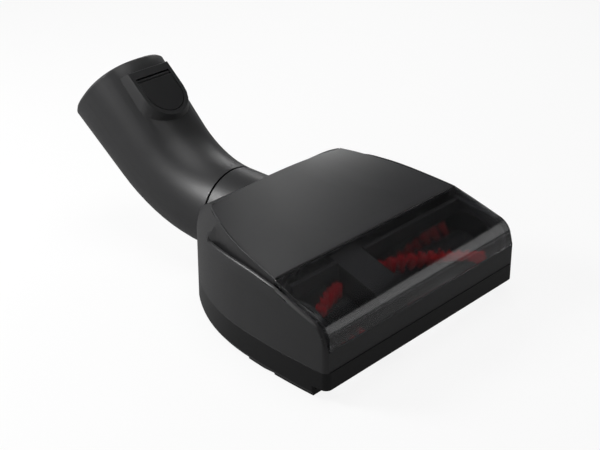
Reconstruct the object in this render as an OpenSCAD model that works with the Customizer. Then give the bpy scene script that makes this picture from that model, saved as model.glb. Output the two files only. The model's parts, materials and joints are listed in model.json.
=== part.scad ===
// Motor-driven vacuum hand brush: a bristle roller under a clear nose cover, turned by a small
// motor through a toothed belt, with a swivelling elbow neck that takes the suction tube.
// X runs across the head, the nose faces -Y, the neck rises towards +Y, and Z = 0 is the surface
// that the sole stands on. Lengths are in millimetres.

/* [Head outline] */
// Width of the head across its nose
head_w = 130; // [122:1:140]
// Depth of the head from the nose to its rear wall
head_d = 104; // [101:1:108]
// Radius of the long side curves in plan
side_r = 290; // [260:5:340]
// Radius of the curves that draw the sides in towards the neck
rear_r = 100; // [95:1:110]
// Distance behind the nose where the side curve becomes the rear curve
blend_y = 51; // [46:1:54]
// Radius of the rear corners in plan
rear_corner_r = 16; // [12:1:20]
// Radius of the front corners in plan
front_corner_r = 3; // [2:0.5:4]
// Distance from the nose back to the origin
nose_to_origin = 42; // [41:0.5:44]

/* [Head side profile] */
// Height of the parting line between chassis and upper housing
seam_z = 13.5; // [12:0.5:15]
// Height of the chassis underside above the floor
chassis_z = 1.2; // [0.8:0.2:2]
// Height of the front wall's lower edge, which is raised so that crumbs can pass under it
front_edge_z = 5.6; // [4:0.2:6.4]
// Distance behind the nose over which the underside is raised
front_edge_len = 8; // [6:0.5:9]
// Height of the lower edge of the clear cover
window_low_z = 22.5; // [21:0.5:23.5]
// Radius of the rounded nose
nose_r = 11; // [10:0.5:13]
// Slope of the clear cover behind the rounded nose, in degrees
window_slope = 19; // [17:0.5:20]
// Distance behind the nose where the clear cover meets the top panel
window_rear_y = 31.5; // [30:0.5:33]
// Height of that joint
window_rear_z = 43.5; // [42.5:0.5:46]
// Slope of the top panel, in degrees
panel_slope = 10.3; // [9:0.1:11]
// Distance from the top panel's rear edge to the head's rear wall
panel_to_rear = 19.5; // [18:0.5:22]
// Rise of the top panel's middle at its rear edge
panel_crown = 2.4; // [0:0.2:3.5]
// Radius of the dome behind the top panel
dome_r = 30; // [28:0.5:34]

/* [Walls and gaps] */
// Wall of the moulded shells
wall = 2.2; // [1.8:0.1:2.6]
// Thickness of the side lips that stand up beside the clear cover and top panel
lip_t = 1.7; // [1.4:0.1:2.2]
// Drop of a side lip's edge below the clear cover
lip_drop = 1.3; // [0.8:0.1:2]
// Height of a side lip at its highest point
lip_z = 42.8; // [41.5:0.1:43.5]
// Radius of the long curve along a side lip
lip_r = 160; // [130:10:220]
// Distance behind the nose where the groove starts to close at its rear end
flare_y = 71; // [68:0.5:74]
// Length over which it closes
flare_len = 13; // [10:0.5:14]
// Width of the shadow groove between side lip and top panel
groove_w = 0.8; // [0.6:0.1:1.2]
// Height of the groove's floor, where the clear cover also rests
shelf_z = 38; // [36.5:0.5:38.5]
// How much further the top panel's sides draw in by its rear edge
panel_draw = 2; // [1:0.2:3]
// Thickness of the top panel's plate at its edges
plate_t = 1.4; // [1:0.1:1.6]
// Width of the housing's rim round the plate
rim_t = 0.7; // [0.5:0.1:1]
// Thickness of the clear cover
window_t = 1.8; // [1.4:0.1:2.2]
// Gap between parts that are fixed together
fit_gap = 0.1; // [0.05:0.05:0.2]
// Gap between parts that move past each other
run_gap = 0.4; // [0.3:0.05:0.6]
// Radial play in the bearings and the swivel
bearing_gap = 0.05; // [0.02:0.01:0.08]

/* [Brush roller] */
// Distance of the roller axis behind the nose
roller_y = 21; // [20.5:0.5:22]
// Height of the roller axis
roller_z = 16.5; // [16.2:0.1:17]
// Radius at the bristle tips
bristle_r = 15.5; // [14.5:0.1:15.6]
// Radius of the roller body
roller_r = 9; // [8:0.25:10]
// Space between the roller's end and the head's side
roller_end_space = 10.5; // [10:0.5:15]
// Distance between bristle tufts along the roller
tuft_pitch = 4.8; // [4.4:0.1:6]
// Radius of a bristle tuft
tuft_r = 1.3; // [1:0.1:1.5]
// Depth of the tuft holes
tuft_depth = 2; // [1.5:0.1:3]
// Twist of the bristle rows, in degrees per millimetre
row_twist = 1.6; // [1:0.1:2]
// Number of bristle rows
row_count = 3; // [1:1:4]
// Radius of the roller shaft
shaft_r = 2.5; // [2:0.1:3]

/* [Drive] */
// Distance from the head's left side to the middle of the drive belt
side_to_belt = 45.5; // [43:0.5:47]
// Width of the drive belt
belt_w = 6; // [4:0.5:7]
// Thickness of the drive belt
belt_t = 1.5; // [1.2:0.1:1.8]
// Radius of the toothed band on the roller
roller_pulley_r = 7; // [6.5:0.25:8]
// Radius of the motor pinion
pinion_r = 4; // [3.5:0.25:4.5]
// Half width of the bridge over the belt
bridge_half = 8.5; // [7:0.5:9]
// Distance of the motor axis behind the nose
motor_y = 61; // [59.5:0.5:61.5]
// Height of the motor axis
motor_z = 29; // [27:0.5:30]
// Radius of the motor can
motor_r = 12; // [11:0.5:12.5]
// Length of the motor can
motor_len = 20; // [18:1:21]
// Radius of the motor shaft
motor_shaft_r = 1.15; // [1:0.05:1.5]
// Width of the circuit board
board_w = 18; // [16:1:20]
// Length of the circuit board
board_len = 30; // [28:1:32]
// Thickness of the circuit board
board_t = 1.6; // [1:0.1:2]
// Height of the circuit board
board_z = 10; // [8:0.5:11]

/* [Fixings] */
// Radius of the case screws
screw_r = 1.5; // [1.2:0.1:1.6]
// Radius of their heads
screw_head_r = 2.8; // [2.5:0.1:3]
// Height of their heads
screw_head_h = 2; // [1.6:0.1:2.2]
// Radius of the bosses they go into
boss_r = 3.6; // [3.2:0.1:4]
// Height of the bosses' upper ends
boss_top_z = 26; // [24:0.5:28]
// Distance of the front pair behind the nose
front_screw_y = 43.5; // [43.5:0.5:45]
// Distance of the rear pair from the head's rear wall
rear_screw_back = 17; // [16:0.5:18]
// Radius of the small screws that hold the sole plate
sole_screw_r = 1.1; // [0.9:0.1:1.2]
// Half the distance between the sole plate's screws
sole_screw_x = 45; // [42:1:47]
// Half the distance between the glide pads' middles
pad_x = 26; // [22:1:28]
// Length of a glide pad across the head
pad_w = 14; // [12:1:16]
// Length of a glide pad front to back
pad_len = 6; // [5:0.5:7]

/* [Neck] */
// Distance of the swivel joint behind the head's rear wall
collar_out = 8.5; // [8:0.5:10]
// Height of the swivel joint's centre
swivel_z = 28; // [27.5:0.1:29.5]
// Upward tilt of the swivel axis, in degrees
swivel_tilt = 2; // [0:0.5:3]
// Outer radius of collar and elbow at the swivel
collar_r = 20.4; // [20:0.1:21.5]
// Radius of the swivel tube
swivel_tube_r = 17; // [16.5:0.1:17.2]
// Radius of the air way through the neck
duct_r = 15; // [13.5:0.1:15.2]
// Bend of the elbow, in degrees
elbow_bend = 39.5; // [34:0.5:42]
// Radius of the elbow's bend at its centre line
elbow_r = 70; // [64:1:80]
// Straight length of the neck behind its bend
neck_straight = 39; // [38:0.5:46]
// Half width of the neck at its mouth
mouth_a = 23.5; // [23:0.1:24.5]
// Half height of the neck at its mouth
mouth_b = 22.1; // [22:0.1:23.5]
// Radius of the socket for the suction tube
socket_r = 18; // [17.5:0.1:18.5]
// Depth of the socket
socket_len = 36; // [32:0.5:37]
// Visible gap between collar and elbow
swivel_gap = 0.8; // [0.6:0.1:1.2]

/* [Release button] */
// Half width of the release button
button_half = 10; // [9:0.5:10.5]
// Distance from the mouth to the button's ridged end
button_start = 11.5; // [10:0.5:13]
// Length of the button
button_len = 20; // [19:0.5:21]
// Height of the button's face above the neck's centre line
button_top = 23.6; // [23.4:0.1:24.4]
// Thickness of the button's plate
button_t = 2; // [1.6:0.1:2.4]
// Radius of the button's pivot pin
pivot_r = 0.8; // [0.6:0.05:1]
// Distance of the pivot from the button's ridged end
pivot_back = 10; // [9:0.5:11]

/* [Hidden] */

$fn = 48;
big = 300;
skin = 0.02;

// Places that follow the head's outline
panel_rear_y = head_d - panel_to_rear;
swivel_y = head_d + collar_out;
belt_x = side_to_belt - head_w / 2;
roller_half = head_w / 2 - roller_end_space;

// Centres of the plan's arcs
side_cx = head_w / 2 - side_r;
blend_angle = asin(blend_y / side_r);
rear_cx = side_cx + (side_r - rear_r) * cos(blend_angle);
rear_cy = (side_r - rear_r) * sin(blend_angle);
corner_angle = asin((head_d - rear_corner_r - rear_cy) / (rear_r - rear_corner_r));
corner_cx = rear_cx + (rear_r - rear_corner_r) * cos(corner_angle);
corner_cy = head_d - rear_corner_r;

// Centre of the rounded nose in the side profile
nose_y = 0.5 + nose_r;
nose_z = window_rear_z - (window_rear_y - nose_y) * tan(window_slope) - nose_r / cos(window_slope);
dome_y = head_d - 28;
dome_z = window_rear_z + (panel_rear_y - window_rear_y) * tan(panel_slope)
    - sqrt(pow(dome_r, 2) - pow(panel_rear_y - dome_y, 2)) + 0.2;

// Half width of the head at a distance y behind the nose
function half_width(y) = y < blend_y
    ? side_cx + sqrt(pow(side_r, 2) - pow(y, 2))
    : rear_cx + sqrt(pow(rear_r, 2) - pow(y - rear_cy, 2));

// Height of the clear cover and top panel along the middle of the head
function panel_line(y) = y < window_rear_y
    ? window_rear_z - (window_rear_y - y) * tan(window_slope)
    : window_rear_z + (y - window_rear_y) * tan(panel_slope);

function arc(cx, cy, r, a0, a1, n) = [for (i = [0:n]) let (a = a0 + (a1 - a0) * i / n)
    [cx + r * cos(a), cy + r * sin(a)]];

// Right half of the plan, drawn in by i from the outer face
function half_plan(i) = concat(
    arc(head_w / 2 - front_corner_r, front_corner_r, max(front_corner_r - i, 0.4), -90, 0, 5),
    arc(side_cx, 0, side_r - i, asin((front_corner_r + 5) / side_r), blend_angle, 6),
    arc(rear_cx, rear_cy, rear_r - i, blend_angle + 3, corner_angle, 10),
    arc(corner_cx, corner_cy, max(rear_corner_r - i, 1), corner_angle + 8, 90, 7));
function plan(i) = let (h = half_plan(i), n = len(h))
    concat(h, [for (k = [n - 1:-1:0]) [-h[k][0], h[k][1]]]);
// A plan drawn in further than the front corner radius keeps a straight front
function inner_plan(i) = [for (p = plan(i)) [p[0], max(p[1], i)]];

// Band between the two sides drawn in by i, which runs out past the nose
module between_sides(i, rear_y) let (ys = [for (k = [0:14]) rear_y * k / 14]) polygon(concat(
    [[i - head_w / 2, -5], [head_w / 2 - i, -5]],
    [for (y = ys) [half_width(y) - i, y]],
    [for (k = [14:-1:0]) [i - half_width(ys[k]), ys[k]]]));

// Solid between rings of equally many points, each ring counterclockwise seen from the last one
module loft(rings) {
    n = len(rings[0]);
    m = len(rings);
    polyhedron(
        points = [for (r = rings) for (p = r) p],
        faces = concat(
            [[for (j = [0:n - 1]) j]],
            [[for (j = [n - 1:-1:0]) (m - 1) * n + j]],
            [for (k = [0:m - 2]) for (j = [0:n - 1]) let (q = (j + 1) % n)
                each [[k * n + j, (k + 1) * n + j, (k + 1) * n + q],
                    [k * n + j, (k + 1) * n + q, k * n + q]]]));
}

// Places what is measured from the nose on the floor into the part's own frame
module from_nose() translate([0, -nose_to_origin, 0]) children();

module along_x(length) rotate([90, 0, 90]) linear_extrude(length, center = true) children();

module x_cylinder(x0, x1, y, z, r) translate([x0, y, z]) rotate([0, 90, 0]) cylinder(h = x1 - x0, r = r);

nose_steps = 10;
// Side profile of the head drawn in by i, from height z0 upwards
module side_profile(i, z0 = -5) polygon(concat(
    [[0.2 + i, z0], [0.5 + i, nose_z]],
    arc(nose_y, nose_z, nose_r - i, 180 - 12, 90 + window_slope, nose_steps),
    [[window_rear_y, window_rear_z - i / cos(window_slope)]],
    arc(dome_y, dome_z, dome_r - i, 74, 0, 14),
    [[head_d - i, dome_z], [head_d - i, z0]]));

module plan_column(i, z0, z1) translate([0, 0, z0]) linear_extrude(z1 - z0) polygon(inner_plan(i));

// The head's outer body: straight walls that turn in over the shoulder, cut to the side profile
shoulder_z = seam_z + 22;
shoulder_in = 8;
shoulder_steps = 9;
shoulder = concat([[seam_z, 0]], [for (k = [0:shoulder_steps])
    [shoulder_z + 23 * k / shoulder_steps, shoulder_in * pow(k / shoulder_steps, 1.6)]]);
module head_body(i) intersection() {
    loft([for (s = shoulder) [for (p = plan(s[1] + i)) [p[0], p[1], s[0]]]]);
    along_x(big) side_profile(i);
}

// Side walls: an outer lip, the groove, and the ledge that the covers stand on
ledge_t = wall;
side_t = lip_t + groove_w + ledge_t;
panel_len = panel_rear_y - window_rear_y;
function panel_half(y) = half_width(y) - lip_t - groove_w
    - panel_draw * max(0, y - window_rear_y) / panel_len;
function crown(x, y) = panel_crown * max(0, y - window_rear_y) / panel_len
    * (1 - pow(x / panel_half(y), 2));

// Half width of the shell inside the groove: it flares out behind and closes the groove
function flank_half(y) = panel_half(min(y, panel_rear_y))
    + (lip_t + groove_w + panel_draw + 2) * pow(max(0, y - flare_y) / flare_len, 2);
module flanks() let (ys = [for (k = [0:12]) window_rear_y + (flare_y + flare_len - window_rear_y) * k / 12])
    translate([0, 0, -5]) linear_extrude(90) polygon(concat(
        [for (y = ys) [flank_half(y), y]], [[90, big], [-90, big]],
        [for (k = [12:-1:0]) [-flank_half(ys[k]), ys[k]]]));

// Everything above the lip edges
lip_y = 54;
lip_rear_y = head_d - 8;
lip_front_y = window_rear_y - 1;
module above_lips() polygon(concat(
    [[-5, 70], [-5, window_low_z], [0.2, window_low_z]],
    arc(nose_y, nose_z, nose_r - lip_drop, 168, 90 + window_slope, nose_steps),
    [for (k = [0:10]) let (y = lip_front_y + (lip_rear_y - lip_front_y) * k / 10)
        [y, lip_z - lip_r + sqrt(pow(lip_r, 2) - pow(y - lip_y, 2))]],
    [[lip_rear_y, 70]]));

// Everything above the ledge under the clear cover and the floor of the groove
module above_shelf() polygon(concat(
    [[-5, 70], [-5, window_low_z], [0.5 + window_t, window_low_z], [0.5 + window_t, nose_z]],
    arc(nose_y, nose_z, nose_r - window_t, 168, 90 + window_slope, nose_steps),
    [[lip_front_y, shelf_z], [lip_rear_y, shelf_z], [lip_rear_y, 70]]));

// Outline of the top panel's plate, and its seat at the plate's thickness below the panel's line
module panel_outline(grow) let (ys = [for (k = [0:8]) window_rear_y + panel_len * k / 8])
    polygon(concat(
        [[panel_half(window_rear_y) - rim_t + grow, -5]],
        [for (y = ys) [panel_half(y) - rim_t + grow, y + (y == ys[8] ? grow : 0)]],
        [for (k = [8:-1:0]) [-panel_half(ys[k]) + rim_t - grow, ys[k] + (k == 8 ? grow : 0)]],
        [[-panel_half(window_rear_y) + rim_t - grow, -5]]));
module above_seat() polygon([[0, panel_line(window_rear_y) - plate_t],
    [window_rear_y, panel_line(window_rear_y) - plate_t],
    [panel_rear_y + 5, panel_line(panel_rear_y + 5) - plate_t], [panel_rear_y + 5, 70], [0, 70]]);

// Places of the screws
function mirrored(p) = [p, [-p[0], p[1]]];
rear_screw_y = head_d - rear_screw_back;
screw_at = concat(
    mirrored([half_width(front_screw_y) - 2 * boss_r - 0.3, front_screw_y]),
    mirrored([max(half_width(rear_screw_y) - 2.5 * boss_r, collar_r + 5), rear_screw_y]));
sole_screw_at = mirrored([sole_screw_x, nose_to_origin + 1]);
floor_z = chassis_z + 1.8;
chamber_half = roller_half + 1;
tunnel_r = bristle_r + 1.5;
tunnel_t = 1.6;
bearing_r = 5.4;
chamber_y0 = 4.2;
chamber_y1 = roller_y + tunnel_r - 1;
// Where the tunnel's top edge meets the clear cover's underside
tunnel_front_y = roller_y + 5;
bridge_x0 = belt_x - bridge_half;
bridge_x1 = belt_x + bridge_half;

module lower_chassis() color("#1b1b1c") from_nose() difference() {
    union() {
        difference() {
            loft([for (s = [[chassis_z, 1.1], [chassis_z + 1, 0.3], [chassis_z + 2, 0], [seam_z, 0]])
                [for (p = plan(s[1])) [p[0], p[1], s[0]]]]);
            plan_column(wall, floor_z, seam_z + 1);
            translate([-head_w, -1, 0]) cube([2 * head_w, front_edge_len + 1, front_edge_z]);
        }
        for (p = screw_at) translate([p[0], p[1], chassis_z + 0.5])
            cylinder(h = seam_z - chassis_z - 0.5, r = boss_r);
        for (p = sole_screw_at) translate([p[0], p[1], chassis_z + 0.5]) cylinder(h = 6, r = 2.6);
        for (x = [board_x0 + 3, board_x0 + board_w - 3], y = [board_y0 + 3, board_y0 + board_len - 3])
            translate([x, y, chassis_z + 0.5]) cylinder(h = board_z - chassis_z - 0.5, r = 1.6);
        for (x = [-38, 0, 38]) translate([x - 0.8, tunnel_end_y + 1, chassis_z + 0.5]) cube([1.6, 8, 4]);
    }
    for (x = [[-chamber_half, bridge_x0], [bridge_x1, chamber_half]])
        translate([x[0], chamber_y0, -1]) cube([x[1] - x[0], chamber_y1 - chamber_y0, 20]);
    for (p = screw_at) translate([p[0], p[1], 0]) {
        cylinder(h = 20, r = screw_r + fit_gap);
        cylinder(h = chassis_z + screw_head_h + 0.4, r = screw_head_r + fit_gap);
    }
    for (p = sole_screw_at) translate([p[0], p[1], 0]) cylinder(h = 20, r = sole_screw_r + fit_gap / 2);
    swivel() translate([0, 0, -collar_len - 0.3]) cylinder(h = collar_len + 10, r = collar_r + fit_gap);
}
tunnel_end_y = roller_y + tunnel_r + tunnel_t;
board_y0 = tunnel_end_y + 9;
board_x0 = half_width(board_y0 + board_len) - side_t - board_w - 2.8;

// Skids at the sole plate's front corners: their length, and how much wider the plate is there
skid_len = 23;
skid_in = 4;
module sole_plate() color("#202022") from_nose() difference() {
    intersection() {
        linear_extrude(chassis_z) difference() {
            translate([-head_w / 2, front_edge_len + 0.5]) square([head_w, nose_to_origin - front_edge_len + 5]);
            for (x = [-head_w / 2, head_w / 2 - skid_in])
                translate([x, front_edge_len + skid_len]) square([skid_in, head_d]);
        }
        translate([0, 0, -1]) linear_extrude(20) polygon(plan(1.6));
    }
    for (x = [[-chamber_half, bridge_x0], [bridge_x1, chamber_half]])
        translate([x[0] + 0.5, chamber_y0 + 0.5, -1])
            cube([x[1] - x[0] - 1, chamber_y1 - chamber_y0 - 1, 20]);
    for (p = sole_screw_at) translate([p[0], p[1], -1]) {
        cylinder(h = 20, r = sole_screw_r + fit_gap);
        cylinder(h = 1.8, r = 2 * sole_screw_r + fit_gap);
    }
}

module glide_pads() color("#7c7c7a") from_nose()
    for (x = [-pad_x, pad_x]) translate([x - pad_w / 2, head_d - 2 * pad_len - 2, 0])
        cube([pad_w, pad_len, chassis_z]);

// Half width of the space behind the front wall
front_half = head_w / 2 - 5.5;
module upper_housing() color("#3b3b3c") from_nose() difference() {
    union() {
        difference() {
            head_body(0);
            intersection() {
                union() {
                    plan_column(side_t, 0, shelf_z + 0.5);
                    plan_column(side_t + panel_draw, 0, 80);
                }
                along_x(big) side_profile(wall);
            }
            translate([-front_half, 0.5 + window_t, 0]) cube([2 * front_half, 20, nose_z + nose_r]);
        }
        for (p = screw_at) translate([p[0], p[1], seam_z]) cylinder(h = boss_top_z - seam_z, r = boss_r);
    }
    difference() {
        along_x(big) above_lips();
        flanks();
    }
    difference() {
        intersection() {
            translate([0, 0, 5]) linear_extrude(80) between_sides(lip_t, lip_rear_y);
            along_x(big) above_shelf();
        }
        flanks();
    }
    intersection() {
        linear_extrude(80) panel_outline(fit_gap);
        along_x(big) above_seat();
    }
    for (p = screw_at) translate([p[0], p[1], 0]) cylinder(h = boss_top_z - 1, r = screw_r);
    swivel() translate([0, 0, -collar_len - 0.3]) cylinder(h = collar_len + 10, r = collar_r + fit_gap);
}

// Cross-section of the top panel's plate at y: flat below, crowned above
function panel_section(y) = let (w = panel_half(y) - rim_t) concat(
    [[w, y, panel_line(y) - plate_t]],
    [for (k = [8:-1:-8]) let (x = w * k / 8) [x, y, panel_line(y) + crown(x, y)]],
    [[-w, y, panel_line(y) - plate_t]]);
module top_cover() color("#4a4a4b") from_nose()
    loft([for (k = [8:-1:0]) panel_section(window_rear_y + fit_gap + (panel_len - fit_gap) * k / 8)]);

module window() color([0.1, 0.1, 0.11, 0.45]) from_nose() intersection() {
    along_x(big) difference() {
        side_profile(0, 0);
        side_profile(window_t, -2);
        square([200, window_low_z]);
        translate([window_rear_y, 0]) square([200, 80]);
    }
    translate([0, 0, 5]) linear_extrude(80) between_sides(lip_t + groove_w, window_rear_y);
}

bridge_t = 1.2;
tunnel_top_z = roller_z + sqrt(pow(tunnel_r + tunnel_t, 2) - pow(tunnel_front_y - roller_y, 2)) + fit_gap;
module belt_bridge() color("#161617") from_nose() {
    translate([belt_x, 0, 0]) along_x(2 * bridge_half) difference() {
        bridge_profile(0);
        bridge_profile(bridge_t);
        translate([tunnel_front_y - fit_gap, 0]) square([60, tunnel_top_z]);
    }
    for (x0 = [bridge_x0, bridge_x1 - bridge_t]) difference() {
        translate([x0 + bridge_t / 2, 0, 0]) along_x(bridge_t) intersection() {
            bridge_profile(0.1);
            square([tunnel_front_y - fit_gap, 60]);
        }
        x_cylinder(x0 - 1, x0 + 3, roller_y, roller_z, roller_r + run_gap + 0.2);
    }
}
module bridge_profile(i) intersection() {
    side_profile(window_t + 1 + i, -9);
    translate([0, floor_z]) square([window_rear_y - 0.5 - i, 60]);
}

// Side view of the tunnel between the radii r0 and r1, with an upright rear wall
module tunnel_profile(r0, r1) let (rise = tunnel_front_y - roller_y) polygon(concat(
    [[roller_y + r1, floor_z]],
    arc(roller_y, roller_z, r1, 0, acos(rise / r1), 10),
    arc(roller_y, roller_z, r0, acos(rise / r0), 0, 10),
    [[roller_y + r0, floor_z]]));
// Upright wall that closes the chamber between the tunnel's top edge and the clear cover
module tunnel_crest() intersection() {
    side_profile(window_t + 0.4, floor_z);
    translate([tunnel_front_y, tunnel_top_z - 1]) square([tunnel_t, 20]);
}
module tunnel_end() intersection() {
    side_profile(window_t + 0.6, floor_z);
    translate([3.2, floor_z]) square([60, 60]);
    union() {
        translate([roller_y, roller_z]) circle(r = tunnel_r + tunnel_t / 2);
        square([roller_y + tunnel_r + tunnel_t / 2, roller_z]);
    }
}
module brush_tunnel() color("#151516") from_nose() difference() {
    union() {
        along_x(2 * chamber_half + 2) tunnel_profile(tunnel_r, tunnel_r + tunnel_t);
        difference() {
            along_x(2 * chamber_half + 2) tunnel_crest();
            translate([bridge_x0 - fit_gap, 0, tunnel_top_z - fit_gap]) cube([2 * bridge_half + 2 * fit_gap, 60, 30]);
        }
        for (s = [-1, 1]) translate([s * (chamber_half + 0.9), 0, 0]) along_x(1.8) tunnel_end();
    }
    x_cylinder(-80, 80, roller_y, roller_z, bearing_r + fit_gap / 2);
    translate([belt_x - belt_w / 2 - 1.5, roller_y + 8, roller_z - 7.5]) cube([belt_w + 3, 30, 25]);
    translate([duct_x0 + 1.6, roller_y + 8, 7]) cube([duct_w - 3.2, 30, 18]);
}

// A toothed band: n teeth between radius r - depth and r
module toothed(r, depth, n) polygon([for (k = [0:n - 1]) let (a = 360 * k / n, s = 360 / n)
    each [for (q = [[0, r - depth], [0.5, r - depth], [0.62, r], [0.88, r]])
        [q[1] * cos(a + q[0] * s), q[1] * sin(a + q[0] * s)]]]);

pulley_half = belt_w / 2 + 0.8;
module roller_core() color("#101011") from_nose() difference() {
    union() {
        for (x = [[-roller_half, belt_x - pulley_half - 1.2], [belt_x + pulley_half + 1.2, roller_half]])
            x_cylinder(x[0], x[1], roller_y, roller_z, roller_r);
        for (x = [belt_x - pulley_half - 1.2, belt_x + pulley_half])
            x_cylinder(x, x + 1.2, roller_y, roller_z, roller_r);
        translate([belt_x, roller_y, roller_z]) rotate([90, 0, 90])
            linear_extrude(2 * pulley_half, center = true) toothed(roller_pulley_r, 0.8, 22);
    }
    x_cylinder(-80, 80, roller_y, roller_z, shaft_r + skin);
    each_tuft() cylinder(h = 20, r = tuft_r + fit_gap / 2);
}

// Bristle tufts: each stands in its hole, pointing outwards, where the row has turned to angle a
tuft_x = concat(
    [for (x = [bridge_x0 - 2.6:-tuft_pitch:-roller_half + 2]) x],
    [for (x = [bridge_x1 + 2.6:tuft_pitch:roller_half - 2]) x]);
module each_tuft() for (x = tuft_x, row = [0:row_count - 1]) {
    a = 76 + row_twist * (abs(x - belt_x) - bridge_half - 2.6) + 360 * row / row_count;
    translate([x, roller_y, roller_z]) rotate([a, 0, 0]) rotate([-90, 0, 0])
        translate([0, 0, roller_r - tuft_depth]) children();
}
module bristle_rows() color("#8f1020") from_nose() each_tuft() union() {
    cylinder(h = tuft_depth, r = tuft_r);
    translate([0, 0, tuft_depth]) cylinder(h = bristle_r - roller_r, r1 = tuft_r, r2 = tuft_r + 0.35);
}

shaft_half = chamber_half + 2.6;
module roller_shaft() color("#9a9a9c") from_nose()
    x_cylinder(-shaft_half, shaft_half, roller_y, roller_z, shaft_r);

module roller_bearing(x0, x1) color("#b9b39c") from_nose() difference() {
    x_cylinder(x0, x1, roller_y, roller_z, bearing_r);
    x_cylinder(x0 - 1, x1 + 1, roller_y, roller_z, shaft_r + bearing_gap);
}
module roller_bearing_left() roller_bearing(-chamber_half - 2.2, -roller_half - run_gap);
module roller_bearing_right() roller_bearing(roller_half + run_gap, chamber_half + 2.2);

module belt_loop(grow) hull() {
    translate([roller_y, roller_z]) circle(r = roller_pulley_r + 0.3 + grow);
    translate([motor_y, motor_z]) circle(r = pinion_r + 0.3 + grow);
}
module drive_belt() color("#1a1a1a") from_nose() translate([belt_x, 0, 0]) along_x(belt_w) difference() {
    belt_loop(belt_t);
    belt_loop(0);
}

motor_x1 = belt_x - pulley_half - 3.2;
motor_x0 = motor_x1 - motor_len;
module motor() color("#8d8f92") from_nose() difference() {
    union() {
        x_cylinder(motor_x0, motor_x1 - 1.2, motor_y, motor_z, motor_r);
        x_cylinder(motor_x1 - 2, motor_x1, motor_y, motor_z, 4);
        x_cylinder(motor_x0 - 1.5, motor_x0 + 1, motor_y, motor_z, 4.5);
        for (y = [-7, 7]) translate([motor_x0 - 2.9, motor_y + y - 1.2, motor_z + 3]) cube([3.5, 2.4, 0.6]);
    }
    x_cylinder(motor_x1 - 8, motor_x1 + 5, motor_y, motor_z, motor_shaft_r + bearing_gap);
    for (y = [-7.5, 7.5]) x_cylinder(motor_x1 - 5, motor_x1 + 5, motor_y + y, motor_z, 0.85);
}
module motor_shaft() color("#b4b5b7") from_nose()
    x_cylinder(motor_x1 - 7, belt_x + pulley_half + 1, motor_y, motor_z, motor_shaft_r);
module motor_pinion() color("#cfcabb") from_nose() difference() {
    union() {
        translate([belt_x, motor_y, motor_z]) rotate([90, 0, 90])
            linear_extrude(2 * pulley_half, center = true) toothed(pinion_r, 0.8, 13);
        for (x = [belt_x - pulley_half - 0.8, belt_x + pulley_half])
            x_cylinder(x, x + 0.8, motor_y, motor_z, pinion_r + 0.2);
    }
    x_cylinder(-80, 80, motor_y, motor_z, motor_shaft_r + skin);
}

cradle_t = 1.6;
module motor_cradle() color("#2a2a2c") from_nose() difference() {
    union() {
        for (x = [motor_x0 + 3, motor_x1 - 7])
            translate([x, motor_y - motor_r - 1, floor_z]) cube([3, 2 * motor_r + 2, motor_z - floor_z - 2]);
        translate([motor_x1 - 1.2, motor_y - motor_r, floor_z])
            cube([cradle_t, 2 * motor_r, motor_z - floor_z + 8]);
        translate([motor_x0 + 3, motor_y - 3, floor_z]) cube([motor_len - 3, 6, 2]);
    }
    x_cylinder(motor_x0 - 5, motor_x1 - 1.2, motor_y, motor_z, motor_r + fit_gap / 2);
    x_cylinder(motor_x1 - 3, motor_x1 + 3, motor_y, motor_z, 4 + fit_gap / 2);
    for (y = [-7.5, 7.5]) x_cylinder(motor_x1 - 3, motor_x1 + 3, motor_y + y, motor_z, 1.1);
}
module motor_screws() color("#8a8b8d") from_nose() for (y = [-7.5, 7.5]) {
    x_cylinder(motor_x1 - 4, motor_x1 + 0.4, motor_y + y, motor_z, 0.8);
    x_cylinder(motor_x1 + 0.4, motor_x1 + 1.4, motor_y + y, motor_z, 1.7);
}

module circuit_board() color("#1f5a38") from_nose() {
    translate([board_x0, board_y0, board_z]) cube([board_w, board_len, board_t]);
    translate([board_x0, board_y0, board_z + board_t]) {
        translate([0.11 * board_w, 0.13 * board_len, 0]) cube([0.4 * board_w, 0.2 * board_len, 2]);
        translate([0.61 * board_w, 0.4 * board_len, 0]) cube([0.28 * board_w, 0.33 * board_len, 4]);
        translate([0.31 * board_w, 0.6 * board_len, 0]) cylinder(h = 9, r = 0.2 * board_w);
        translate([0.11 * board_w, board_len - 5, 0]) cube([0.45 * board_w, 4, 5]);
    }
}

// Round wire along hand-set points, swept as one tube
function unit(v) = v / norm(v);
module wire(path, r, across, sides = 8) {
    n = len(path);
    loft([for (i = [0:n - 1]) let (
        t = unit(path[min(i + 1, n - 1)] - path[max(i - 1, 0)]),
        a = unit(cross(t, across)),
        b = cross(t, a))
        [for (k = [0:sides - 1]) path[i] + r * (cos(360 * k / sides) * a + sin(360 * k / sides) * b)]]);
}
// From the board's plug up over the air duct and across to the motor's rear end
plug_x = board_x0 + 0.33 * board_w;
plug_y = board_y0 + board_len - 3;
lead_y = head_d - 29;
lead_z = swivel_z + 16.5;
terminal_x = motor_x0 - 1.9;
terminal_y = motor_y + 7;
lead_path = [[plug_x, plug_y, board_z + board_t + 5], [plug_x, plug_y, lead_z - 14], [plug_x - 3, lead_y, lead_z - 6],
    [plug_x - 12, lead_y, lead_z - 1.5], [8, lead_y, lead_z], [-10, lead_y, lead_z],
    [terminal_x + 22.4, lead_y, lead_z - 0.5], [terminal_x + 10.4, lead_y - 1, lead_z - 2.2],
    [terminal_x + 4.9, lead_y - 2, lead_z - 5], [terminal_x + 0.8, lead_y - 4, lead_z - 7.7],
    [terminal_x, terminal_y, motor_z + 6.2],
    [terminal_x, terminal_y, motor_z + 3.62]];
module motor_leads() color("#b5322b") from_nose() wire(lead_path, 0.9, [0, 1, 0.3]);

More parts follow.
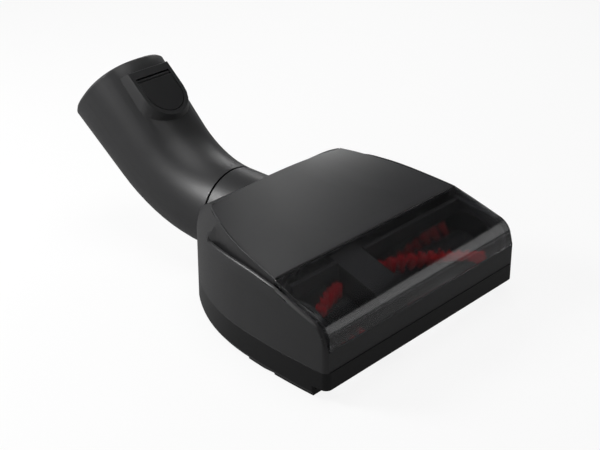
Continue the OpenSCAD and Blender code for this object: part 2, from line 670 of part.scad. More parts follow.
duct_x0 = belt_x + 11.5;
duct_w = board_x0 - 4 - duct_x0;
duct_t = 1.5;
module suction_duct() color("#232324") from_nose() difference() {
    duct_form(0, 0);
    duct_form(duct_t, 1);
}
module duct_form(i, over) hull() {
    translate([duct_x0 + i, tunnel_end_y + fit_gap - over, 6 + i]) cube([duct_w - 2 * i, 0.5, 21 - 2 * i]);
    swivel() translate([0, 0, over - collar_len - 4.7])
        cylinder(h = 0.5, r = swivel_tube_r + 1.2 - i, $fn = 32);
}

// Swivel frame: Z runs along the swivel axis towards the neck, from the joint's centre
module swivel() translate([0, swivel_y, swivel_z]) rotate([swivel_tilt - 90, 0, 0]) children();
collar_len = 20;
module collar() color("#3a3a3b") from_nose() swivel() difference() {
    translate([0, 0, -collar_len]) cylinder(h = collar_len, r = collar_r);
    translate([0, 0, -collar_len - 1]) cylinder(h = collar_len + 2, r = swivel_tube_r + bearing_gap);
}
module swivel_tube() color("#2c2c2d") from_nose() swivel() difference() {
    translate([0, 0, -collar_len - 3.4]) cylinder(h = collar_len + 3.4 + 12, r = swivel_tube_r);
    translate([0, 0, -collar_len - 5]) cylinder(h = collar_len + 30, r = duct_r);
    translate([0, 0, -collar_len - 2]) ring_slot(swivel_tube_r - 0.7, swivel_tube_r + 1, 1.6);
}
module ring_slot(r0, r1, h) difference() {
    cylinder(h = h, r = r1);
    translate([0, 0, -1]) cylinder(h = h + 2, r = r0);
}
module retaining_ring() color("#8b8c8e") from_nose() swivel()
    translate([0, 0, -collar_len - 1.9]) difference() {
        ring_slot(swivel_tube_r - 0.65, swivel_tube_r + 1.8, 1.4);
        translate([-3, 0, -1]) cube([6, 30, 4]);
    }

// Neck frames: distance s along the elbow's centre line from the swivel joint
bend_s = 3;
bend_len = elbow_r * elbow_bend * PI / 180;
neck_len = bend_s + bend_len + neck_straight;
bend_cz = elbow_r;
// [y, z, angle] of the centre line at s, in the swivel's own plane with z up
function centre_line(s) = s < bend_s ? [s, 0, 0]
    : s < bend_s + bend_len
        ? let (a = (s - bend_s) / elbow_r * 180 / PI)
            [bend_s + elbow_r * sin(a), elbow_r * (1 - cos(a)), a]
        : let (d = s - bend_s - bend_len)
            [bend_s + elbow_r * sin(elbow_bend) + d * cos(elbow_bend),
                elbow_r * (1 - cos(elbow_bend)) + d * sin(elbow_bend), elbow_bend];
mouth = centre_line(neck_len);
// Plane of the elbow: X across, Y along the swivel axis, Z up
module neck_plane() translate([0, swivel_y, swivel_z]) rotate([swivel_tilt, 0, 0]) children();
// Mouth frame: Z points out of the mouth, Y is up across it
module mouth_frame() neck_plane() translate([0, mouth[0], mouth[1]]) rotate([elbow_bend - 90, 0, 0])
    mirror([0, 1, 0]) children();

function neck_ring(s, from_a, to_a, lip) = let (
    c = centre_line(s), t = s / neck_len,
    a = collar_r + (mouth_a - collar_r) * t - lip,
    b = collar_r + (mouth_b - collar_r) * t - lip,
    e = 2 / (2 + 0.5 * t))
    [for (k = [0:24]) let (q = from_a + (to_a - from_a) * k / 24,
        u = -a * sign(cos(q)) * pow(abs(cos(q)), e), v = b * sign(sin(q)) * pow(abs(sin(q)), e))
        [u, c[0] - v * sin(c[2]), c[1] + v * cos(c[2])]];
neck_stations = concat([swivel_gap, bend_s], [for (k = [1:10]) bend_s + bend_len * k / 10],
    [neck_len - neck_straight * 0.55, neck_len - 1.2, neck_len]);
module neck_half(from_a, to_a) neck_plane() loft([for (s = neck_stations)
    neck_ring(s, from_a, to_a, s == neck_len ? 0.9 : 0)]);

module neck_bores() {
    swivel() rotate(60) translate([0, 0, -1]) cylinder(h = 14, r = swivel_tube_r + skin);
    neck_plane() translate([0, bend_s, bend_cz]) rotate([0, 90, 0])
        rotate_extrude(angle = elbow_bend) translate([elbow_r, 0]) circle(r = duct_r);
    mouth_frame() rotate(60) {
        translate([0, 0, -socket_len]) cylinder(h = socket_len + 5, r = socket_r);
        translate([0, 0, -neck_straight - 1]) cylinder(h = 10, r = duct_r - 0.1);
    }
}

// Button frame: Z up out of the button's face, Y from its ridged end towards the head, X across
module button_frame() mouth_frame() translate([0, button_top, -button_start]) rotate([-90, 0, 0]) children();
boss_side = button_half + 3;
boss_foot = 8;
function u_outline(half, y0, y1) = concat([[-half, y0], [half, y0]], arc(0, y1 - half, half, 0, 180, 12));
module boss() button_frame() loft([
    [for (p = u_outline(boss_side + 2.2, -6, button_len + 8.5)) [p[0], p[1], -boss_foot]],
    [for (p = u_outline(boss_side, -4.5, button_len + 3)) [p[0], p[1], -0.6]],
    [for (p = u_outline(boss_side - 0.5, -4, button_len + 2.5)) [p[0], p[1], 0]]]);
module button_shape(half, y0, y1, h) linear_extrude(h) union() {
    translate([-half, y0]) square([2 * half, y1 - y0 - half]);
    translate([0, y1 - half]) circle(r = half);
}
pocket_z = socket_r + 0.9 - button_top;
pivot_z = pocket_z + 1.5;

module elbow_upper() color("#3d3d3e") from_nose() difference() {
    union() {
        neck_half(0, 180);
        boss();
    }
    neck_bores();
    button_frame() {
        translate([0, 0, pocket_z]) button_shape(button_half + run_gap, -run_gap, button_len + run_gap, 20);
        translate([-3.4, 0.6, pocket_z - 6]) cube([6.8, 4.4, 10]);
        translate([1 - boss_side, pivot_back, pivot_z])
            rotate([0, 90, 0]) cylinder(h = 2 * boss_side - 2, r = pivot_r);
    }
}

recess_half = 6.4;
recess_v = 20.3;
module elbow_lower() color("#3d3d3e") from_nose() difference() {
    neck_half(180, 360);
    neck_bores();
    mouth_frame() {
        translate([-recess_half, -recess_v, -socket_len - 0.2]) cube([2 * recess_half, 10, socket_len + 10]);
        translate([-upstand_half - fit_gap, -recess_v, -socket_len - upstand_t - fit_gap])
            cube([2 * upstand_half + 2 * fit_gap, 10, upstand_t + 1]);
    }
}

block_len = 12;
block_h = 2.1;
contact_r = 0.7;
pin_v = recess_v - fit_gap - block_h / 2;
upstand_half = 3.5;
upstand_t = 1.8;
module contact_block() color("#17171a") from_nose() mouth_frame() difference() {
    union() {
        translate([-recess_half + fit_gap, -recess_v + fit_gap, -socket_len])
            cube([2 * (recess_half - fit_gap), block_h, block_len]);
        translate([-upstand_half, -recess_v + fit_gap, -socket_len - upstand_t])
            cube([2 * upstand_half, recess_v - lead_v + 1, upstand_t]);
        translate([-upstand_half, -recess_v + fit_gap, -socket_len - upstand_t])
            cube([2 * upstand_half, block_h, upstand_t + 2]);
    }
    for (x = [-3, 3]) translate([x, -pin_v, -socket_len + 4]) cylinder(h = 20, r = contact_r + skin);
}
module contact_pins() color("#c8a24a") from_nose() mouth_frame()
    for (x = [-3, 3]) translate([x, -pin_v, -socket_len + 4]) cylinder(h = block_len + 6, r = contact_r);

// Two wires along the bottom of the air way, from the contact block through the swivel tube
lead_v = duct_r - 1;
lead_stations = concat([-collar_len - 2, 0], [for (k = [0:10]) bend_s + bend_len * k / 10],
    [neck_len - socket_len - upstand_t]);
module neck_leads() color("#b5322b") from_nose() neck_plane() for (x = [-1.3, 1.3])
    wire([for (s = lead_stations) let (c = centre_line(s))
        [x, c[0] + lead_v * sin(c[2]), c[1] - lead_v * cos(c[2])]], 0.9, [1, 0, 0]);

module release_button() color("#343435") from_nose() button_frame() difference() {
    union() {
        difference() {
            translate([0, 0, -button_t]) button_shape(button_half, 0, button_len, button_t);
            translate([-20, 3.2, 0]) rotate([8, 0, 0]) cube([40, 40, 5]);
            translate([-20, 1.4, -0.7]) cube([40, 0.8, 3]);
            translate([-20, -1, -0.7]) cube([40, 1.6, 3]);
        }
        for (x = [-8.5, 4.5]) pivot_ear(x);
        translate([-2.8, 1, pocket_z - 0.75]) cube([5.6, 3.2, -pocket_z - 0.9]);
    }
    translate([-20, pivot_back, pivot_z]) rotate([0, 90, 0]) cylinder(h = 40, r = pivot_r + bearing_gap);
    translate([-4.2, pivot_back, pivot_z]) rotate([0, 90, 0]) cylinder(h = 8.4, r = 2.3);
}
module pivot_ear(x) translate([x, pivot_back, 0]) union() {
    translate([0, 0, pivot_z]) rotate([0, 90, 0]) cylinder(h = 4, r = 1.2);
    translate([0, -1.2, pivot_z]) cube([4, 2.4, -pivot_z - button_t / 2]);
}
module button_pin() color("#a9aaac") from_nose() button_frame()
    translate([1.2 - boss_side, pivot_back, pivot_z])
        rotate([0, 90, 0]) cylinder(h = 2 * boss_side - 2.4, r = pivot_r - skin);
// Torsion spring around the pin: one leg on the pocket's floor, one under the button's round end
coil_r = pivot_r + 0.35;
coil_half = 2.6;
coil_turns = 4.5;
spring_leg = 4.5;
spring_path = concat(
    [[-coil_half, spring_leg, -coil_r]],
    [for (k = [0:54]) let (a = -90 - 360 * coil_turns * k / 54)
        [coil_half * (k / 27 - 1), coil_r * cos(a), coil_r * sin(a)]],
    [[coil_half, 1.5, 1.05], [coil_half, 2.4, 0.85], [coil_half, spring_leg, 0.85]]);
module button_spring() color("#b9babc") from_nose() button_frame() translate([0, pivot_back, pivot_z])
    wire(spring_path, 0.3, [1, 0, 0], 6);

module chassis_screws() color("#8a8b8d") from_nose() for (p = screw_at) translate([p[0], p[1], 0]) {
    translate([0, 0, chassis_z + 0.4]) {
        cylinder(h = screw_head_h, r = screw_head_r);
        translate([0, 0, screw_head_h])
            cylinder(h = boss_top_z - chassis_z - 2 * screw_head_h - 0.4, r = screw_r - skin);
    }
}
module sole_screws() color("#8a8b8d") from_nose() for (p = sole_screw_at) translate([p[0], p[1], 0]) {
    translate([0, 0, 0.1]) cylinder(h = 0.7, r = 2 * sole_screw_r);
    translate([0, 0, 0.8]) cylinder(h = 6, r = sole_screw_r);
}

lower_chassis();
sole_plate();
glide_pads();
upper_housing();
top_cover();
window();
belt_bridge();
brush_tunnel();
roller_core();
bristle_rows();
roller_shaft();
roller_bearing_left();
roller_bearing_right();
drive_belt();
motor();
motor_shaft();
motor_pinion();
motor_cradle();
motor_screws();
circuit_board();
motor_leads();
suction_duct();
collar();
swivel_tube();
retaining_ring();
elbow_upper();
elbow_lower();
contact_block();
contact_pins();
neck_leads();
release_button();
button_pin();
button_spring();
chassis_screws();
sole_screws();
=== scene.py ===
import json
import math
import random

import bmesh
import bpy
from mathutils import Matrix, Vector


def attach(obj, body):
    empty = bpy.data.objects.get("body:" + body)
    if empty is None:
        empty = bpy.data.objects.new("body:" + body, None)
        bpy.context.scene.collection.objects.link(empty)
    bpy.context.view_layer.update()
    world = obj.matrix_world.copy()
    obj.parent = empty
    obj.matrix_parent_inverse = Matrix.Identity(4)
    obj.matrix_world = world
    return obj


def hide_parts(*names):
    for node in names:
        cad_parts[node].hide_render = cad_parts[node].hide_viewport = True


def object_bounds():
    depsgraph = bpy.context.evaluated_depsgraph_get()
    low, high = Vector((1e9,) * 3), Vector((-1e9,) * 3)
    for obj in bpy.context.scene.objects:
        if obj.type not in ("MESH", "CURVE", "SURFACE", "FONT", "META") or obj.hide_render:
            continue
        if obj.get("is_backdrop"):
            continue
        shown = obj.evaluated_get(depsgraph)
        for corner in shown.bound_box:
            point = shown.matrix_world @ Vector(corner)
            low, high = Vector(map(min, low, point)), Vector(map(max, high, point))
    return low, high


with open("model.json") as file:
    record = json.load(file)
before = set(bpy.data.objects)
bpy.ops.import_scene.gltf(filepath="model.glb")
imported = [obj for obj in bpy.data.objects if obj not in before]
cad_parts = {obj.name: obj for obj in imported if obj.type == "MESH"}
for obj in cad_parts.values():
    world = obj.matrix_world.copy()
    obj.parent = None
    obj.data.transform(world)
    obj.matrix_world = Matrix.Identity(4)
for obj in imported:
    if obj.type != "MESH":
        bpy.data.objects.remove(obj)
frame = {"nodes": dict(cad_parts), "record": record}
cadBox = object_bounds()
cadNodes = frame["nodes"]
bodyOf = {name: body for body, names in frame["record"]["behaviour"]["bodies"].items() for name in names}
mm = 0.001
noiseLow, noiseHigh = 0.3, 0.7  # nearly all of a noise texture lies between these
plasticBase = {"ior": 1.5, "specular": 0.5, "cloudDetail": 3.0, "cloudRoughness": 0.55, "grainDetail": 2.0}
metalGrain = {"roughSpread": 0.06, "strength": 0.15, "depthMm": 0.02, "detail": 2.0}
meshCare = {"mergeMm": 0.002, "flatDeg": 0.6}  # what counts as one vertex, and as one flat face
rollerAxis = {"yMm": -21, "zMm": 16.5}
print("frame loaded:", len(cadNodes), "nodes")


def linearColour(hexText):
    channels = [int(hexText[i:i + 2], 16) / 255 for i in (1, 3, 5)]
    return [c / 12.92 if c <= 0.04045 else ((c + 0.055) / 1.055) ** 2.4 for c in channels] + [1.0]


def addNode(tree, kind, inputs=None, **settings):
    node = tree.nodes.new(kind)
    for name, value in settings.items():
        setattr(node, name, value)
    for socket, value in (inputs or {}).items():
        if isinstance(value, bpy.types.NodeSocket):
            tree.links.new(value, node.inputs[socket])
        else:
            node.inputs[socket].default_value = value
    return node


def newMaterial(name):
    material = bpy.data.materials.new(name)
    material.use_nodes = True
    material.node_tree.nodes.clear()
    return material, material.node_tree


def mouldedPlastic(name, look):
    material, tree = newMaterial(name)
    place = addNode(tree, "ShaderNodeTexCoord").outputs["Object"]
    cloud = addNode(tree, "ShaderNodeTexNoise", {
        "Vector": place, "Scale": 1 / (look["cloudMm"] * mm), "Detail": plasticBase["cloudDetail"],
        "Roughness": plasticBase["cloudRoughness"]})
    tint = addNode(tree, "ShaderNodeValToRGB", {"Fac": cloud.outputs["Fac"]})
    tint.color_ramp.elements[0].position = noiseLow
    tint.color_ramp.elements[1].position = noiseHigh
    tint.color_ramp.elements[0].color = linearColour(look["colourLow"])
    tint.color_ramp.elements[1].color = linearColour(look["colour"])
    grain = addNode(tree, "ShaderNodeTexNoise", {
        "Vector": place, "Scale": 1 / (look["grainMm"] * mm), "Detail": plasticBase["grainDetail"]})
    gloss = addNode(tree, "ShaderNodeMapRange", {
        "Value": grain.outputs["Fac"], "From Min": noiseLow, "From Max": noiseHigh,
        "To Min": look["roughness"] - look["roughSpread"],
        "To Max": look["roughness"] + look["roughSpread"]})
    bump = addNode(tree, "ShaderNodeBump", {
        "Height": grain.outputs["Fac"], "Strength": look["grainStrength"],
        "Distance": look["grainDepthMm"] * mm})
    shader = addNode(tree, "ShaderNodeBsdfPrincipled", {
        "Base Color": tint.outputs["Color"], "Roughness": gloss.outputs["Result"],
        "Normal": bump.outputs["Normal"], "IOR": plasticBase["ior"],
        "Specular IOR Level": look.get("specular", plasticBase["specular"])})
    addNode(tree, "ShaderNodeOutputMaterial", {"Surface": shader.outputs["BSDF"]})
    return material


def metalFinish(name, look):
    material, tree = newMaterial(name)
    place = addNode(tree, "ShaderNodeTexCoord").outputs["Object"]
    stretched = addNode(tree, "ShaderNodeMapping", {"Vector": place, "Scale": look["stretch"]})
    lines = addNode(tree, "ShaderNodeTexNoise", {
        "Vector": stretched.outputs["Vector"], "Scale": 1 / (look["lineMm"] * mm),
        "Detail": metalGrain["detail"]})
    gloss = addNode(tree, "ShaderNodeMapRange", {
        "Value": lines.outputs["Fac"], "From Min": noiseLow, "From Max": noiseHigh,
        "To Min": look["roughness"] - metalGrain["roughSpread"],
        "To Max": look["roughness"] + metalGrain["roughSpread"]})
    bump = addNode(tree, "ShaderNodeBump", {
        "Height": lines.outputs["Fac"], "Strength": metalGrain["strength"],
        "Distance": metalGrain["depthMm"] * mm})
    shader = addNode(tree, "ShaderNodeBsdfPrincipled", {
        "Base Color": linearColour(look["colour"]), "Metallic": 1.0, "Roughness": gloss.outputs["Result"],
        "Normal": bump.outputs["Normal"]})
    addNode(tree, "ShaderNodeOutputMaterial", {"Surface": shader.outputs["BSDF"]})
    return material


# ABS, injection moulded against a spark-eroded tool: a fine even grain that scatters the light softly
housingAbs = mouldedPlastic("housingAbs", {
    "colour": "#272728", "colourLow": "#242425", "cloudMm": 24, "grainMm": 0.45, "grainStrength": 0.3,
    "grainDepthMm": 0.05, "roughness": 0.42, "roughSpread": 0.05})
# The top panel is the same ABS from a finer tool, so it reads a little smoother; its colour is painted a
# little paler than the housing's, as painted light on the top
panelAbsPaintedPaler = mouldedPlastic("panelAbsPaintedPaler", {
    "colour": "#2b2b2c", "colourLow": "#28282a", "cloudMm": 30, "grainMm": 0.4, "grainStrength": 0.22,
    "grainDepthMm": 0.04, "roughness": 0.36, "roughSpread": 0.04})
# The neck's ABS is coarser grained and matt
neckAbs = mouldedPlastic("neckAbs", {
    "colour": "#2a2a2b", "colourLow": "#262627", "cloudMm": 20, "grainMm": 0.5, "grainStrength": 0.35,
    "grainDepthMm": 0.06, "roughness": 0.44, "roughSpread": 0.05})
# The chassis is jet-black ABS with a satin finish
chassisAbs = mouldedPlastic("chassisAbs", {
    "colour": "#111112", "colourLow": "#0e0e0f", "cloudMm": 20, "grainMm": 0.4, "grainStrength": 0.2,
    "grainDepthMm": 0.04, "roughness": 0.38, "roughSpread": 0.04, "specular": 0.3})
# Inner mouldings in plain black polypropylene, never polished
innerPolypropylene = mouldedPlastic("innerPolypropylene", {
    "colour": "#09090a", "colourLow": "#070708", "cloudMm": 15, "grainMm": 0.6, "grainStrength": 0.2,
    "grainDepthMm": 0.05, "roughness": 0.5, "roughSpread": 0.05, "specular": 0.3})
# Glass-filled nylon of the button: black and slightly silky
buttonNylon = mouldedPlastic("buttonNylon", {
    "colour": "#272728", "colourLow": "#242425", "cloudMm": 12, "grainMm": 0.35, "grainStrength": 0.2,
    "grainDepthMm": 0.04, "roughness": 0.38, "roughSpread": 0.04})
# Natural acetal: milky and waxy
bearingAcetal = mouldedPlastic("bearingAcetal", {
    "colour": "#d6d0bf", "colourLow": "#cfc8b5", "cloudMm": 6, "grainMm": 0.3, "grainStrength": 0.1,
    "grainDepthMm": 0.02, "roughness": 0.35, "roughSpread": 0.03})
# Chloroprene rubber of the belt
beltRubber = mouldedPlastic("beltRubber", {
    "colour": "#262627", "colourLow": "#202021", "cloudMm": 5, "grainMm": 0.3, "grainStrength": 0.3,
    "grainDepthMm": 0.04, "roughness": 0.6, "roughSpread": 0.05})
# Solder mask over glass-fibre board
boardMask = mouldedPlastic("boardMask", {
    "colour": "#1f6440", "colourLow": "#1a5836", "cloudMm": 4, "grainMm": 0.5, "grainStrength": 0.1,
    "grainDepthMm": 0.02, "roughness": 0.3, "roughSpread": 0.03})
# PVC insulation of the leads
leadPvc = mouldedPlastic("leadPvc", {
    "colour": "#b43229", "colourLow": "#a92c24", "cloudMm": 4, "grainMm": 0.3, "grainStrength": 0.1,
    "grainDepthMm": 0.02, "roughness": 0.35, "roughSpread": 0.03})
# Pressed felt of the glide pads: short fibres in all directions
padFelt = mouldedPlastic("padFelt", {
    "colour": "#8a8a87", "colourLow": "#6f6f6c", "cloudMm": 1.2, "grainMm": 0.35, "grainStrength": 0.9,
    "grainDepthMm": 0.3, "roughness": 0.9, "roughSpread": 0.05})
# Ground steel of the shaft and pins
groundSteel = metalFinish("groundSteel", {
    "colour": "#b4b5b8", "roughness": 0.28, "lineMm": 0.3, "stretch": (1.0, 0.15, 1.0)})
# Zinc-plated steel can
platedSteel = metalFinish("platedSteel", {
    "colour": "#a6a8ab", "roughness": 0.35, "lineMm": 0.4, "stretch": (0.15, 1.0, 1.0)})
# Plated brass contacts
contactBrass = metalFinish("contactBrass", {
    "colour": "#d0a75a", "roughness": 0.25, "lineMm": 0.3, "stretch": (1.0, 1.0, 0.2)})


def smokedPolycarbonate():
    # Smoked polycarbonate, polished in the mould: it mirrors the studio and dims what is behind it
    look = {
        "tint": "#e2e2e4", "shadowTint": "#e6e6e8", "roughness": 0.12, "ior": 1.585,
        "waverMm": 30, "waverDetail": 1.0, "waverStrength": 0.02, "waverDepthMm": 0.1}
    material, tree = newMaterial("smokedPolycarbonate")
    place = addNode(tree, "ShaderNodeTexCoord").outputs["Object"]
    waver = addNode(tree, "ShaderNodeTexNoise", {
        "Vector": place, "Scale": 1 / (look["waverMm"] * mm), "Detail": look["waverDetail"]})
    bump = addNode(tree, "ShaderNodeBump", {
        "Height": waver.outputs["Fac"], "Strength": look["waverStrength"],
        "Distance": look["waverDepthMm"] * mm})
    shader = addNode(tree, "ShaderNodeBsdfPrincipled", {
        "Base Color": linearColour(look["tint"]), "Roughness": look["roughness"], "IOR": look["ior"],
        "Transmission Weight": 1.0, "Normal": bump.outputs["Normal"]})
    # Lamp light goes straight through, so that the brush behind is lit evenly
    ray = addNode(tree, "ShaderNodeLightPath")
    straight = addNode(tree, "ShaderNodeBsdfTransparent", {"Color": linearColour(look["shadowTint"])})
    both = addNode(tree, "ShaderNodeMixShader", {
        0: ray.outputs["Is Shadow Ray"], 1: shader.outputs["BSDF"], 2: straight.outputs["BSDF"]})
    addNode(tree, "ShaderNodeOutputMaterial", {"Surface": both.outputs["Shader"]})
    return material


smokedWindow = smokedPolycarbonate()


def nylonFilament():
    # Crimped nylon filament, dyed dark red: darker near the roller core, paler towards the tips
    look = {
        "root": "#8a0512", "tip": "#c40d20", "darkToMm": 9, "paleFromMm": 15.5, "roughness": 0.42,
        "ior": 1.53}
    material, tree = newMaterial("nylonFilament")
    place = addNode(tree, "ShaderNodeTexCoord").outputs["Object"]
    parts = addNode(tree, "ShaderNodeSeparateXYZ", {"Vector": place})
    y = addNode(tree, "ShaderNodeMath", {
        0: parts.outputs["Y"], 1: rollerAxis["yMm"] * mm}, operation="SUBTRACT")
    z = addNode(tree, "ShaderNodeMath", {
        0: parts.outputs["Z"], 1: rollerAxis["zMm"] * mm}, operation="SUBTRACT")
    flat = addNode(tree, "ShaderNodeCombineXYZ", {"Y": y.outputs[0], "Z": z.outputs[0]})
    reach = addNode(tree, "ShaderNodeVectorMath", {0: flat.outputs[0]}, operation="LENGTH")
    share = addNode(tree, "ShaderNodeMapRange", {
        "Value": reach.outputs["Value"], "From Min": look["darkToMm"] * mm,
        "From Max": look["paleFromMm"] * mm})
    ramp = addNode(tree, "ShaderNodeValToRGB", {"Fac": share.outputs["Result"]})
    ramp.color_ramp.elements[0].color = linearColour(look["root"])
    ramp.color_ramp.elements[1].color = linearColour(look["tip"])
    shader = addNode(tree, "ShaderNodeBsdfPrincipled", {
        "Base Color": ramp.outputs["Color"], "Roughness": look["roughness"], "IOR": look["ior"]})
    addNode(tree, "ShaderNodeOutputMaterial", {"Surface": shader.outputs["BSDF"]})
    return material


filamentNylon = nylonFilament()
print("materials made")

materialOf = {
    "lower_chassis": chassisAbs, "sole_plate": chassisAbs, "glide_pads": padFelt,
    "upper_housing": housingAbs, "top_cover": panelAbsPaintedPaler, "window": smokedWindow,
    "belt_bridge": innerPolypropylene, "brush_tunnel": innerPolypropylene,
    "roller_core": innerPolypropylene, "bristle_rows": filamentNylon, "roller_shaft": groundSteel,
    "roller_bearing_left": bearingAcetal, "roller_bearing_right": bearingAcetal,
    "drive_belt": beltRubber, "motor": platedSteel, "motor_shaft": groundSteel,
    "motor_pinion": bearingAcetal, "motor_cradle": innerPolypropylene, "motor_screws": groundSteel,
    "circuit_board": boardMask, "motor_leads": leadPvc, "suction_duct": innerPolypropylene,
    "collar": neckAbs, "swivel_tube": innerPolypropylene, "retaining_ring": groundSteel,
    "elbow_upper": neckAbs, "elbow_lower": neckAbs, "contact_block": innerPolypropylene,
    "contact_pins": contactBrass, "neck_leads": leadPvc, "release_button": buttonNylon,
    "button_pin": groundSteel, "button_spring": groundSteel, "chassis_screws": groundSteel,
    "sole_screws": groundSteel}
for name, node in cadNodes.items():
    node.data.materials.clear()
    node.data.materials.append(materialOf[name])


def cleanCopy(nodeName):
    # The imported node's loose triangles, joined, with its flat faces made whole again
    shape = bmesh.new()
    shape.from_mesh(cadNodes[nodeName].data)
    bmesh.ops.remove_doubles(shape, verts=shape.verts, dist=meshCare["mergeMm"] * mm)
    bmesh.ops.dissolve_limit(shape, angle_limit=math.radians(meshCare["flatDeg"]), verts=shape.verts,
                             edges=shape.edges)
    return shape


# The head's plan in millimetres from its nose backwards: a long side arc, then a tighter one to the rear
headPlan = {
    "noseToOrigin": 42.0, "sideR": 290.0, "sideX": -225.0, "rearR": 100.0, "rearX": -37.96, "rearY": 33.41,
    "blendY": 51.0}


def halfWidth(y):
    # Half the head's width at y, in metres
    back = y / mm + headPlan["noseToOrigin"]
    if back < headPlan["blendY"]:
        return (headPlan["sideX"] + math.sqrt(headPlan["sideR"] ** 2 - back ** 2)) * mm
    across = headPlan["rearR"] ** 2 - (back - headPlan["rearY"]) ** 2
    return (headPlan["rearX"] + math.sqrt(max(across, 0))) * mm


def roundCrests(shape, look):
    # The side lips' outer edges are rounded well over, and catch the light as one bright line
    crests = []
    for edge in shape.edges:
        middle = (edge.verts[0].co + edge.verts[1].co) / 2
        if len(edge.link_faces) != 2 or middle.z < look["fromMm"] * mm:
            continue
        if abs(middle.x) < halfWidth(middle.y) - look["lipMm"] * mm:
            continue
        side = math.copysign(1, middle.x)
        normals = [face.normal for face in edge.link_faces]
        outward = [n for n in normals if n.x * side > look["outward"]]
        upward = [n for n in normals if n.x * side < look["upward"] and (
            n.z > look["upward"] or n.y < -look["upward"])]
        if outward and upward and edge.calc_face_angle() > math.radians(look["foldDeg"]):
            crests.append(edge)
    bmesh.ops.bevel(shape, geom=crests, offset=look["roundMm"] * mm, offset_type="OFFSET", affect="EDGES",
                    segments=look["steps"], profile=0.5, material=-1, clamp_overlap=False)
    # Nothing of the rounding stands out past the head's side
    for vert in shape.verts:
        reach = halfWidth(vert.co.y)
        if abs(vert.co.x) > reach:
            vert.co.x = math.copysign(reach, vert.co.x)
    print("crest edges rounded:", len(crests))


edgeFinish = {"steps": 2, "fromDeg": 40, "smoothDeg": 32, "normalWeight": 60}


def finishPiece(shape, pieceName, nodeName, look):
    # Smooth faces, sharp folds and a small rounding along them, then the piece takes its node's place
    if look.get("crest"):
        roundCrests(shape, look["crest"])
    mesh = bpy.data.meshes.new(pieceName)
    shape.to_mesh(mesh)
    shape.free()
    mesh.materials.append(materialOf[nodeName])
    piece = bpy.data.objects.new(pieceName, mesh)
    bpy.context.scene.collection.objects.link(piece)
    for face in mesh.polygons:
        face.use_smooth = True
    mesh.set_sharp_from_angle(angle=math.radians(look.get("smoothDeg", edgeFinish["smoothDeg"])))
    if look.get("edgeMm"):
        bevel = piece.modifiers.new("edges", "BEVEL")
        bevel.width = look["edgeMm"] * mm
        bevel.segments = look.get("edgeSteps", edgeFinish["steps"])
        bevel.limit_method = "ANGLE"
        bevel.angle_limit = math.radians(edgeFinish["fromDeg"])
        bevel.miter_outer = "MITER_ARC"
        normals = piece.modifiers.new("normals", "WEIGHTED_NORMAL")
        normals.keep_sharp = True
        normals.weight = edgeFinish["normalWeight"]
    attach(piece, bodyOf[nodeName])
    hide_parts(nodeName)


# An outer edge of a side lip lies between a face whose normal points outward and one that points upward
sideLips = {
    "roundMm": 0.95, "fromMm": 22, "lipMm": 2.0, "steps": 4, "foldDeg": 30, "outward": 0.55, "upward": 0.5}
shellLooks = {
    "upper_housing": {"edgeMm": 0.25, "crest": sideLips},
    "top_cover": {"edgeMm": 0.5, "edgeSteps": 3},
    "lower_chassis": {"edgeMm": 0.3},
    "sole_plate": {"edgeMm": 0.25},
    "window": {"edgeMm": 0.2},
    "belt_bridge": {"edgeMm": 0.2},
    "elbow_upper": {"edgeMm": 0.3},
    "elbow_lower": {"edgeMm": 0.3},
    "collar": {"edgeMm": 0.4},
    "release_button": {"edgeMm": 0.25}}
for nodeName, look in shellLooks.items():
    finishPiece(cleanCopy(nodeName), nodeName + "_shell", nodeName, look)
print("shells made")

# Real filaments are thinner: these are drawn 0.24 mm thick, so that they show
bristles = {
    "rootMm": 7.4, "tipMm": 15.4, "filamentsPerTuft": 56, "filamentRadiusMm": 0.12, "tipShare": 0.8,
    "sides": 5, "tuftRadiusMm": 1.2, "rootShare": 0.8, "spreadAlong": 0.12, "spreadAround": 0.26,
    "stray": 0.03, "shortest": 0.93, "seed": 4, "smoothDeg": 60}


def tuftMiddles():
    # Each tuft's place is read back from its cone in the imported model, so the rows stay as they are
    cones = bmesh.new()
    cones.from_mesh(cadNodes["bristle_rows"].data)
    bmesh.ops.remove_doubles(cones, verts=cones.verts, dist=meshCare["mergeMm"] * mm)
    seen, middles = set(), []
    for start in cones.verts:
        if start in seen:
            continue
        island, queue = [], [start]
        seen.add(start)
        while queue:
            vert = queue.pop()
            island.append(vert.co.copy())
            for edge in vert.link_edges:
                other = edge.other_vert(vert)
                if other not in seen:
                    seen.add(other)
                    queue.append(other)
        middles.append(sum(island, Vector()) / len(island))
    cones.free()
    return middles


def bristleTufts(look):
    random.seed(look["seed"])
    axis = Vector((0, rollerAxis["yMm"] * mm, rollerAxis["zMm"] * mm))
    shape = bmesh.new()
    for middle in tuftMiddles():
        out = Vector((0, middle.y - axis.y, middle.z - axis.z)).normalized()
        around = Vector((0, -out.z, out.y))
        rootSpan = look["tuftRadiusMm"] * look["rootShare"] * mm
        for _ in range(look["filamentsPerTuft"]):
            turn, reach = random.uniform(0, 2 * math.pi), math.sqrt(random.random())
            offX, offY = reach * math.cos(turn), reach * math.sin(turn)
            root = axis + Vector((middle.x + offX * rootSpan, 0, 0)) + out * look["rootMm"] * mm \
                + around * offY * rootSpan
            lean = Vector((offX, 0, 0)) * look["spreadAlong"] \
                + around * (offY * look["spreadAround"] + random.uniform(-look["stray"], look["stray"]))
            length = (look["tipMm"] - look["rootMm"]) * random.uniform(look["shortest"], 1.0) * mm
            heading = (out + lean).normalized()
            bmesh.ops.create_cone(
                shape, cap_ends=True, segments=look["sides"], radius1=look["filamentRadiusMm"] * mm,
                radius2=look["filamentRadiusMm"] * look["tipShare"] * mm, depth=length,
                matrix=Matrix.Translation(root + heading * length / 2)
                @ heading.to_track_quat("Z", "Y").to_matrix().to_4x4())
    finishPiece(shape, "bristle_tufts", "bristle_rows", look)


